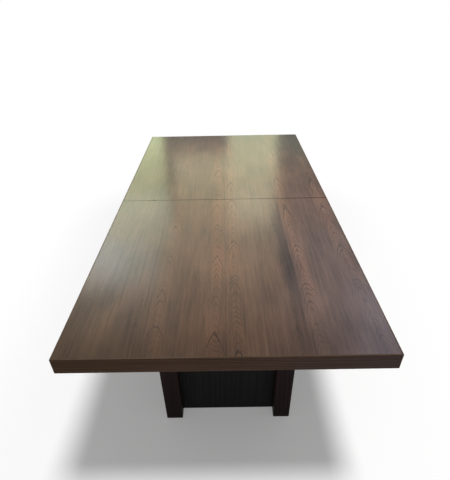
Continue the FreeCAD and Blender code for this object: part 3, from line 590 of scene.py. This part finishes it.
def postWear(position, wood):
    # 1 at the foot of any post and on its four arrises, which lie half its size from its middle both ways
    x, y, z = parted(position)
    low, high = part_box("rear_outer_right_post")
    innerLow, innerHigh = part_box("rear_inner_right_post")
    half = (high.x - low.x) / 2
    middleX = (low.x + high.x) / 2
    outerY = (low.y + high.y) / 2
    innerY = (innerLow.y + innerHigh.y) / 2
    fromX = abs(abs(x) - middleX)
    fromY = abs(abs(abs(y) - (outerY + innerY) / 2) - (outerY - innerY) / 2)
    arris = smooth(abs(fromX.math("MINIMUM", fromY) - half), *wood["wearWidth"])
    foot = smooth(z, *wood["footHeight"]) * wood["footWear"]
    return arris.math("MAXIMUM", foot)


# Metal and plastic

zincSteel = {
    "toneNoise": ((420.0, 420.0, 420.0), 2.0, 0.6),       # spangle
    "shades": [(0.25, (0.42, 0.43, 0.45)), (0.5, (0.58, 0.59, 0.60)), (0.8, (0.70, 0.70, 0.69))],
    "markNoise": ((160.0, 160.0, 2600.0), 2.0, 0.5),      # drawn lines
    "stainNoise": ((60.0, 60.0, 60.0), 3.0, 0.6),
    "stainEdge": (0.55, 0.75),
    "stain": (0.34, 0.31, 0.27),
    "stainShare": 0.35,
    "stainRoughness": 0.15,
    "roughness": (0.24, 0.42),
    "relief": 0.00002,
    "fixed": {"Metallic": 1.0},
}

pinBrass = {
    "toneNoise": ((90.0, 90.0, 90.0), 3.0, 0.6),          # tarnish
    "shades": [(0.3, (0.42, 0.27, 0.09)), (0.55, (0.66, 0.47, 0.18)), (0.8, (0.76, 0.58, 0.27))],
    "markNoise": ((300.0, 3200.0, 300.0), 2.0, 0.5),      # turned lines
    "roughness": (0.20, 0.38),
    "relief": 0.00002,
    "fixed": {"Metallic": 1.0},
}

gearNylon = {
    "toneNoise": ((40.0, 40.0, 40.0), 2.0, 0.5),
    "shades": [(0.3, (0.62, 0.59, 0.52)), (0.7, (0.76, 0.74, 0.68))],
    "markNoise": ((700.0, 700.0, 700.0), 2.0, 0.6),       # the mould's texture
    "roughness": (0.38, 0.52),
    "relief": 0.00003,
    "fixed": {"Subsurface Weight": 0.12, "Subsurface Scale": 0.002},
}

glidePlastic = {
    "toneNoise": ((40.0, 40.0, 40.0), 2.0, 0.5),
    "shades": [(0.3, (0.0195, 0.0195, 0.0205)), (0.7, (0.0205, 0.0205, 0.0215))],
    "markNoise": ((1400.0, 1400.0, 1400.0), 2.0, 0.6),
    "stainNoise": ((140.0, 30.0, 140.0), 3.0, 0.6),       # scuffs
    "stainEdge": (0.52, 0.72),
    "stain": (0.070, 0.068, 0.065),
    "stainShare": 0.5,
    "stainRoughness": 0.1,
    "roughness": (0.42, 0.60),
    "relief": 0.00003,
    "fixed": {"Specular IOR Level": 0.4},
}


def makeHardware(name, finish):
    # A cloudy tone, fine marks that give roughness and relief, and stains or scuffs where the finish has them
    material, position = newMaterial(name)
    marks = noise(position, *finish["markNoise"])
    colour = shades(noise(position, *finish["toneNoise"]), finish["shades"])
    roughness = spread(marks, *finish["roughness"])
    if "stain" in finish:
        stain = smooth(noise(position, *finish["stainNoise"]), *finish["stainEdge"])
        colour = mixed(stain * finish["stainShare"], colour, finish["stain"])
        roughness = roughness + stain * finish["stainRoughness"]
    surface(colour, roughness, marks, finish["relief"], finish["fixed"])
    return material


# One finish for each slot, and two where strips run across the top and along it, as their grain does
finishes = {
    "top_veneer": makeTopVeneer(),
    "post_wood": makeSolidWood("postWood", postWood, "Z", postWear),
    "infill_black": makeSolidWood("infillBlack", infillWood, "Z"),
    "slide_wood": makeSolidWood("slideWood", slideWood, "Y"),
    "gear_nylon": makeHardware("gearNylon", gearNylon),
    "zinc_steel": makeHardware("zincSteel", zincSteel),
    "pin_brass": makeHardware("pinBrass", pinBrass),
    "glide_plastic": makeHardware("glidePlastic", glidePlastic),
}
acrossFinishes = {
    "edge_wood": makeSolidWood("edgeWoodAcross", edgeWood, "X", edgeWearAndHighlight),
    "underside_wood": makeSolidWood("undersideWoodAcross", undersideWood, "X"),
}
alongFinishes = {
    "edge_wood": makeSolidWood("edgeWoodAlong", edgeWood, "Y", edgeWearAndHighlight),
    "underside_wood": makeSolidWood("undersideWoodAlong", undersideWood, "Y"),
}
print("finishes made:", len(finishes) + len(acrossFinishes) + len(alongFinishes))


def finishFor(node):
    slot = slotOf[node]
    if slot in finishes:
        return finishes[slot]
    downTheSide = "left" in node or "right" in node
    return alongFinishes[slot] if downTheSide else acrossFinishes[slot]


for name, node in frame["nodes"].items():
    node.data.materials.clear()
    node.data.materials.append(finishFor(name))
print("nodes finished:", len(frame["nodes"]))


# Turned fasteners

turning = {
    "sameSolid": 0.05,    # points closer than this across the axis belong to one fastener
    "sharpAngle": 35.0,   # degrees; edges that turn less are shaded smooth
    "stepsPerPitch": 6,
}


def middles(node):
    # Middle of each separate solid of a node
    mesh = frame["nodes"][node].data
    points = np.empty(len(mesh.vertices) * 3)
    mesh.vertices.foreach_get("co", points)
    points = points.reshape(-1, 3)
    found = []
    while len(points):
        near = np.linalg.norm(points[:, :2] - points[0, :2], axis=1) < turning["sameSolid"]
        solid = points[near]
        found.append((solid.min(axis=0) + solid.max(axis=0)) / 2)
        points = points[~near]
    return np.array(found)


def turnedShape(rings, angle):
    # Point (s, a) lies rings[s] radius(a) out from the axis and rings[s] height(a) along it, in direction a;
    # the first and the last ring close in a point on the axis
    radius = np.array([np.broadcast_to(out, angle.shape) for out, along in rings])
    height = np.array([np.broadcast_to(along, angle.shape) for out, along in rings])
    grid = np.stack([radius * np.cos(angle), radius * np.sin(angle), height], axis=-1)
    count = radius.size
    ends = np.array([(0.0, 0.0, height[0].mean()), (0.0, 0.0, height[-1].mean())])
    index = np.arange(count).reshape(radius.shape)
    beside = np.roll(index, -1, axis=1)
    walls = np.stack([index[:-1], beside[:-1], beside[1:], index[1:]], axis=-1).reshape(-1, 4)
    first = np.stack([np.full(angle.size, count), beside[0], index[0]], axis=-1)
    last = np.stack([np.full(angle.size, count + 1), index[-1], beside[-1]], axis=-1)
    return np.concatenate([grid.reshape(-1, 3), ends]), [walls, first, last]


def addTurned(node, rings, angle, axis="Z"):
    # The turned shape at every solid of the node, which it stands for
    points, faces = turnedShape(rings, angle)
    places = middles(node)
    if axis == "Z":
        places[:, 2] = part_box(node)[0].z
    else:
        points = points[:, [1, 2, 0]]  # turned over so that the axis lies along Y
        places[:, 1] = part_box(node)[0].y
    shift = np.arange(len(places))[:, None, None] * len(points)
    many = (places[:, None] + points).reshape(-1, 3)
    allFaces = [corners for face in faces for corners in (face + shift).reshape(-1, face.shape[1]).tolist()]
    mesh = bpy.data.meshes.new(node + "_turned")
    mesh.from_pydata(many.tolist(), [], allFaces)
    mesh.polygons.foreach_set("use_smooth", np.ones(len(mesh.polygons), dtype=bool))
    mesh.set_sharp_from_angle(angle=radians(turning["sharpAngle"]))
    mesh.materials.append(finishFor(node))
    piece = bpy.data.objects.new(node + "_turned", mesh)
    scene.collection.objects.link(piece)
    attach(piece, bodyOf[node])
    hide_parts(node)


def evenAngles(sides):
    return np.arange(sides) * (2 * pi / sides)


def lengthOf(node, axis="Z"):
    low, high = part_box(node)
    return high.z - low.z if axis == "Z" else high.y - low.y


def driveOutline(angle, kind, length, width):
    # Distance from the axis to the wall of a cross, slot or hexagon in each direction
    if kind == "hexagon":
        return length / 2 / np.cos(angle % (pi / 3) - pi / 6)
    along = np.abs(np.cos(angle))
    beside = np.abs(np.sin(angle))
    if kind == "cross":
        along, beside = np.maximum(along, beside), np.minimum(along, beside)
    tiny = 1e-6
    toEnd = length / 2 / np.maximum(along, tiny)
    toSide = width / 2 / np.maximum(beside, tiny)
    return np.minimum(toEnd, toSide)


def driveAngles(sides, kind, length, width):
    # Even steps with the corners of the recess among them
    even = evenAngles(sides)
    if kind == "hexagon":
        return even
    corner = np.arctan2(width, length)
    quarters = evenAngles(4)
    turns = quarters if kind == "cross" else quarters[::2]
    corners = np.concatenate([turns + corner, turns - corner]) % (2 * pi)
    return np.unique(np.round(np.concatenate([even, corners]), 5))  # rounded so that equal ones merge


def threadRings(start, end, thread, angle):
    # Helix: the crest stands midway between the places where height / pitch - angle / full turn is whole,
    # and dies away at both ends
    outer, core, pitch = thread
    heights = np.linspace(start, end, int((end - start) / pitch * turning["stepsPerPitch"]) + 2)
    rings = []
    for height in heights:
        turn = (height / pitch - angle / (2 * pi)) % 1.0
        fade = np.clip(min(height - start, end - height) / pitch, 0.0, 1.0)
        crest = (1.0 - np.abs(2.0 * turn - 1.0)) * fade
        rings.append((core / 2 + (outer - core) / 2 * crest, height))
    return rings


def grooved(half, places, depth):
    # A turned groove is a dip of the radius to half - depth over twice that depth either side
    rings = []
    for place in places:
        rings += [(half, place - 2 * depth), (half - depth, place - depth), (half - depth, place + depth)]
        rings.append((half, place + 2 * depth))
    return rings


screwHead = {
    "sides": 48,
    "floorRings": (0.45, 0.9),                # in outlines of the recess
    "crownRings": (0.25, 0.5, 0.75, 0.92),    # from the recess to the rim
    "rimStart": 0.97,                         # in half heads, as the next two
    "rimTurn": 0.985,
    "rimDrop": 0.03,
}

# Recesses give kind, length, width and depth; threads give outer and core diameter and pitch
slideScrew = {
    "head": 0.0095,
    "headHeight": 0.003,
    "crown": 0.0009,
    "recess": ("cross", 0.0054, 0.0013, 0.0018),
    "thread": (0.0050, 0.0036, 0.0022),
    "point": 0.006,
    "tip": 0.0009,
}

axleScrew = {
    "head": 0.014,
    "headHeight": 0.0025,
    "crown": 0.0006,
    "recess": ("hexagon", 0.005, 0.005, 0.0036),
    "shoulder": 0.008,
    "thread": (0.0060, 0.0048, 0.0010),
    "threadLength": 0.010,
    "point": 0.001,
    "tip": 0.0012,
}

pivotScrew = {
    "head": 0.016,
    "headHeight": 0.0025,
    "crown": 0.0009,
    "recess": ("slot", 0.0120, 0.0016, 0.0015),
    "shoulder": 0.008,
    "thread": (0.0050, 0.0036, 0.0022),
    "threadLength": 0.014,
    "point": 0.005,
    "tip": 0.0009,
}


def headRings(screw, angle):
    # From the floor of the recess up its wall, out over a crown that falls with the square of the radius,
    # round the rim and in under the head
    kind, length, width, depth = screw["recess"]
    outline = driveOutline(angle, kind, length, width)
    half = screw["head"] / 2
    crown = screw["crown"]
    rings = [(outline * share, depth) for share in screwHead["floorRings"]]
    for share in (0.0, *screwHead["crownRings"]):
        out = outline + (half * screwHead["rimStart"] - outline) * share
        rings.append((out, crown * (out / half) ** 2))
    rings.append((half * screwHead["rimTurn"], crown))
    rings.append((half, crown + half * screwHead["rimDrop"]))
    rings.append((half, screw["headHeight"]))
    return rings


def addScrew(node, screw):
    angle = driveAngles(screwHead["sides"], *screw["recess"][:3])
    core = screw["thread"][1]
    end = lengthOf(node)
    rings = headRings(screw, angle)
    start = screw["headHeight"]
    if "shoulder" in screw:
        rings.append((screw["shoulder"] / 2, start))
        start = end - screw["threadLength"]
        rings.append((screw["shoulder"] / 2, start))
    rings.append((core / 2, start))
    rings += threadRings(start, end - screw["point"], screw["thread"], angle)
    rings.append((screw["tip"] / 2, end))
    addTurned(node, rings, angle)


pedestalBolt = {
    "sides": 48,
    "across": 0.013,
    "headHeight": 0.0055,
    "faceAcross": 0.01235,
    "faceDish": 0.0003,
    "dishRings": (0.5, 0.9),      # in half faces
    "cornerFall": 0.577,          # the corners fall away at 30 degrees
    "neck": 0.0004,
    "flange": 0.018,
    "flangeThick": 0.0016,
    "flangeEdge": 0.0003,
    "flangeRound": (0.0006, 0.0007),
    "plainLength": 0.012,
    "thread": (0.0080, 0.0066, 0.00125),
    "point": 0.0012,
    "tip": 0.00462,
}


def addBolts(node, bolt):
    # Up over the dished face and down the hexagon, out over the sloping flange and along the shank
    angle = evenAngles(bolt["sides"])
    hexagon = driveOutline(angle, "hexagon", bolt["across"], bolt["across"])
    outer, core = bolt["thread"][:2]
    end = lengthOf(node)
    face = bolt["faceAcross"] / 2
    top = bolt["headHeight"]
    seat = top + bolt["flangeThick"]
    half = bolt["flange"] / 2
    inward, below = bolt["flangeRound"]
    plain = seat + bolt["plainLength"]
    rings = [(face * share, bolt["faceDish"]) for share in bolt["dishRings"]]
    rings += [(face, 0.0), (hexagon, (hexagon - face) * bolt["cornerFall"])]
    rings += [(hexagon, top - bolt["neck"]), (hexagon + bolt["neck"], top), (half - inward, seat - below)]
    rings += [(half, seat - bolt["flangeEdge"]), (half, seat), (outer / 2, seat)]
    rings += [(outer / 2, plain), (core / 2, plain)]
    rings += threadRings(plain, end - bolt["point"], bolt["thread"], angle)
    rings.append((bolt["tip"] / 2, end))
    addTurned(node, rings, angle)


keeperStud = {
    "sides": 40,
    "round": 0.008,
    "face": 0.004,
    "chamfer": 0.0008,
    "grooves": (0.012, 0.015, 0.018),   # grooves that hold the glue, from the free end
    "grooveDepth": 0.0005,
}


def addStuds(node, stud):
    angle = evenAngles(stud["sides"])
    half = stud["round"] / 2
    chamfer = stud["chamfer"]
    end = lengthOf(node)
    rings = [(stud["face"] / 2, 0.0), (half - chamfer, 0.0), (half, chamfer)]
    rings += grooved(half, stud["grooves"], stud["grooveDepth"])
    rings += [(half, end - chamfer), (half - chamfer, end)]
    addTurned(node, rings, angle)


alignmentPin = {
    "sides": 40,
    "round": 0.010,
    "face": 0.005,
    "chamfer": 0.0005,
    "grooves": (0.006, 0.010, 0.014, 0.018),
    "grooveDepth": 0.0006,
    "noseLength": 0.0025,
    "noseTurn": 81.0,   # degrees
    "noseRings": 9,
}


def addPins(node, pin):
    # The nose is part of a quarter wave: radius = half * (1 + cos turn) / 2, height = length * sin turn
    angle = evenAngles(pin["sides"])
    half = pin["round"] / 2
    length = pin["noseLength"]
    nose = lengthOf(node, "Y") - length
    rings = [(pin["face"] / 2, 0.0), (half - pin["chamfer"], 0.0), (half, pin["chamfer"])]
    rings += grooved(half, pin["grooves"], pin["grooveDepth"])
    for turn in np.linspace(0.0, radians(pin["noseTurn"]), pin["noseRings"]):
        rings.append((half * (1.0 + np.cos(turn)) / 2, nose + length * np.sin(turn)))
    addTurned(node, rings, angle, "Y")


postGlide = {
    "sides": 64,
    "round": 0.038,
    "thick": 0.004,
    "edge": 0.001,
    "edgeRings": 6,
    "upperEdge": 0.0004,
    "recess": 0.012,
    "recessDepth": 0.0012,
    "recessRings": (0.5, 0.85),   # in half recesses
    "pin": 0.008,
    "barb": 0.0005,
    "barbDrop": 0.0004,
    "barbStep": 0.003,
    "pinPlain": 0.004,            # without barbs at its end
    "pinTaper": 0.002,
    "pinEnd": 0.004,
}


def addGlides(node, glide):
    # From the dished underside round a quarter circle to the rim, over the upper face and up the barbed pin
    angle = evenAngles(glide["sides"])
    half = glide["round"] / 2
    dish = glide["recess"] / 2
    edge = glide["edge"]
    thick = glide["thick"]
    upper = glide["upperEdge"]
    pin = glide["pin"] / 2
    neck = pin - glide["barb"]
    end = lengthOf(node)
    rings = [(dish * share, glide["recessDepth"]) for share in glide["recessRings"]]
    rings.append((dish, 0.0))
    for turn in np.linspace(0.0, pi / 2, glide["edgeRings"]):
        rings.append((half - edge + edge * np.sin(turn), edge - edge * np.cos(turn)))
    rings += [(half, thick - upper), (half - upper, thick), (pin, thick)]
    for height in np.arange(thick + glide["barbStep"], end - glide["pinPlain"], glide["barbStep"]):
        rings += [(pin, height), (neck, height + glide["barbDrop"])]
    rings += [(neck, end - glide["pinTaper"]), (glide["pinEnd"] / 2, end)]
    addTurned(node, rings, angle)


for half in ("front", "rear"):
    addScrew(f"{half}_slide_screws", slideScrew)
    addBolts(f"{half}_pedestal_bolts", pedestalBolt)
    addGlides(f"{half}_pedestal_glides", postGlide)
for hand in ("left", "right"):
    addScrew(f"{hand}_slide_pinion_axle", axleScrew)
addScrew("lock_pivot_screws", pivotScrew)
addStuds("lock_keeper_studs", keeperStud)
addPins("seam_alignment_pins", alignmentPin)
print("fasteners turned")


# Floor

floorStage = {
    "halfSide": 80.0,
    "greyness": 0.76,          # diffuse part, which takes the shadow
    "glow": 0.22,              # even part, which lifts the shadow to a soft grey
    "fade": (0.35, 0.95),      # metres out from the table where grey gives way to white
}


def seenRay(tree):  # 1 for rays that show the backdrop: straight to the camera, mirrored or through glass
    path = tree.nodes.new("ShaderNodeLightPath")
    names = ("Is Camera Ray", "Is Glossy Ray", "Is Transmission Ray")
    straight, mirrored, through = [Signal(tree, path.outputs[name]) for name in names]
    return (straight + mirrored + through).math("MINIMUM", 1.0)


def makeFloor():
    settings = floorStage
    half = settings["halfSide"]
    corners = [(-half, -half, 0.0), (half, -half, 0.0), (half, half, 0.0), (-half, half, 0.0)]
    mesh = bpy.data.meshes.new("studioFloor")
    mesh.from_pydata(corners, [], [(0, 1, 2, 3)])
    floor = bpy.data.objects.new("studioFloor", mesh)
    scene.collection.objects.link(floor)
    material, position = newMaterial("studioFloor")
    tree = material.node_tree
    x, y, z = parted(position)
    outX = (abs(x) - tableHigh.x).math("MAXIMUM", 0.0)
    outY = (abs(y) - tableHigh.y).math("MAXIMUM", 0.0)
    away = (outX * outX + outY * outY).math("SQRT")
    seen = seenRay(tree)
    grey = tree.nodes.new("ShaderNodeBsdfDiffuse")
    grey.inputs["Color"].default_value = (settings["greyness"],) * 3 + (1.0,)
    glow = tree.nodes.new("ShaderNodeEmission")
    plug(glow.inputs["Strength"], seen * settings["glow"])
    lifted = tree.nodes.new("ShaderNodeAddShader")
    tree.links.new(grey.outputs[0], lifted.inputs[0])
    tree.links.new(glow.outputs[0], lifted.inputs[1])
    plainWhite = tree.nodes.new("ShaderNodeEmission")
    faded = tree.nodes.new("ShaderNodeMixShader")
    plug(faded.inputs[0], seen * smooth(away, *settings["fade"]))
    tree.links.new(lifted.outputs[0], faded.inputs[1])
    tree.links.new(plainWhite.outputs[0], faded.inputs[2])
    # Seen from below the floor is clear, so that the underside shows
    geometry = tree.nodes.new("ShaderNodeNewGeometry")
    clear = tree.nodes.new("ShaderNodeBsdfTransparent")
    oneSided = tree.nodes.new("ShaderNodeMixShader")
    tree.links.new(geometry.outputs["Backfacing"], oneSided.inputs[0])
    tree.links.new(faded.outputs[0], oneSided.inputs[1])
    tree.links.new(clear.outputs[0], oneSided.inputs[2])
    output = tree.nodes.new("ShaderNodeOutputMaterial")
    tree.links.new(oneSided.outputs[0], output.inputs[0])
    mesh.materials.append(material)


# Light

studioLight = {
    "skyFill": 0.25,
    "overheadPlace": (1.15, -0.93, 9.0),
    "overheadAcross": 1.9,
    "overheadLevel": 0.78,         # a white sheet under it renders at this share of white
    # panels beyond the far end, which show only as sheen on the top: left, right, bottom, top, level, colour
    "panelPlane": 4.5,
    "panels": {
        "leftLow": (-2.95, -1.05, 1.5, 3.0, 5.6, (0.83, 1.0, 0.52)),
        "leftMiddle": (-3.2, -1.05, 3.0, 4.0, 11.3, (0.90, 1.0, 0.74)),
        "leftHigh": (-2.1, -1.4, 4.0, 5.2, 13.5, (0.89, 1.0, 0.90)),
        "leftCorner": (-3.4, -2.1, 4.0, 5.2, 18.0, (0.87, 1.0, 0.99)),
        "leftTop": (-3.8, -1.3, 5.2, 6.8, 2.5, (0.90, 1.0, 0.95)),
        "between": (-0.9, 0.07, 2.25, 3.6, 5.1, (1.0, 0.95, 0.58)),
        "centreLow": (0.07, 0.90, 1.4, 2.2, 3.7, (0.89, 1.0, 0.60)),
        "centreMiddle": (0.07, 0.92, 2.2, 3.0, 6.0, (0.95, 1.0, 0.61)),
        "centreHigh": (0.07, 0.93, 3.0, 3.7, 11.0, (1.0, 0.95, 0.64)),
        "wide": (-1.35, 1.08, 3.6, 5.2, 5.5, (1.0, 0.90, 0.64)),
        "wideTop": (-1.4, 1.5, 5.2, 6.3, 2.2, (1.0, 0.88, 0.70)),
        "right": (1.3, 2.5, 3.9, 6.3, 1.5, (1.0, 0.90, 0.80)),
        "rightEdge": (2.6, 3.2, 4.9, 6.3, 5.0, (0.88, 0.88, 1.0)),
        "rightTop": (3.2, 4.8, 5.2, 9.0, 8.5, (0.78, 0.78, 1.0)),
    },
}


def makeOverhead():
    settings = studioLight
    place = Vector(settings["overheadPlace"])
    lamp = bpy.data.lights.new("overheadSoftLight", "AREA")
    lamp.shape = "DISK"
    lamp.size = settings["overheadAcross"]
    # power that gives a level sheet at the origin the irradiance pi * level
    fall = place.z / place.length
    lamp.energy = settings["overheadLevel"] * pi * pi * place.length_squared / fall
    overhead = bpy.data.objects.new("overheadSoftLight", lamp)
    overhead.location = place
    overhead.rotation_euler = place.to_track_quat("Z", "Y").to_euler()
    overhead.visible_camera = False
    overhead.visible_glossy = False
    scene.collection.objects.link(overhead)


def makePanels():
    for name, (left, right, bottom, top, level, colour) in studioLight["panels"].items():
        lamp = bpy.data.lights.new(name + "Panel", "AREA")
        lamp.shape = "RECTANGLE"
        lamp.size = right - left
        lamp.size_y = top - bottom
        lamp.energy = level * pi * lamp.size * lamp.size_y  # its face is then level times as bright as white
        lamp.color = colour
        panel = bpy.data.objects.new(name + "Panel", lamp)
        panel.location = ((left + right) / 2, studioLight["panelPlane"], (bottom + top) / 2)
        panel.rotation_euler = (-pi / 2, 0.0, 0.0)
        panel.visible_camera = False
        panel.visible_diffuse = False
        scene.collection.objects.link(panel)


def makeWorld():
    world = bpy.data.worlds.new("studioWhite")
    world.use_nodes = True
    tree = world.node_tree
    tree.nodes.clear()
    fill = tree.nodes.new("ShaderNodeBackground")
    fill.inputs["Strength"].default_value = studioLight["skyFill"]
    backdrop = tree.nodes.new("ShaderNodeBackground")
    either = tree.nodes.new("ShaderNodeMixShader")
    plug(either.inputs[0], seenRay(tree))
    tree.links.new(fill.outputs[0], either.inputs[1])
    tree.links.new(backdrop.outputs[0], either.inputs[2])
    output = tree.nodes.new("ShaderNodeOutputWorld")
    tree.links.new(either.outputs[0], output.inputs[0])
    for background in (fill, backdrop):
        background.inputs["Color"].default_value = (*white, 1.0)
    scene.world = world


makeFloor()
makeOverhead()
makePanels()
makeWorld()
scene.view_settings.view_transform = "Standard"
print("floor and light set")


# Camera

viewpoint = {
    "place": (0.0073, -1.8229, 1.7139),
    "pitch": 33.7445,   # degrees below level
    "yaw": -0.2861,     # degrees to the right
    "roll": -1.1178,
    "lens": 28.4853,    # millimetres, on a 36 mm sensor
}


def makeCamera():
    settings = viewpoint
    data = bpy.data.cameras.new("frontCamera")
    data.lens = settings["lens"]
    camera = bpy.data.objects.new("frontCamera", data)
    level = 90.0  # unturned, a camera looks straight down
    turn = Euler((radians(level - settings["pitch"]), 0.0, radians(-settings["yaw"])))
    aim = turn.to_matrix().to_4x4()
    roll = Matrix.Rotation(radians(settings["roll"]), 4, "Z")
    camera.matrix_world = Matrix.Translation(settings["place"]) @ aim @ roll
    scene.collection.objects.link(camera)
    scene.camera = camera


makeCamera()
print("camera set")
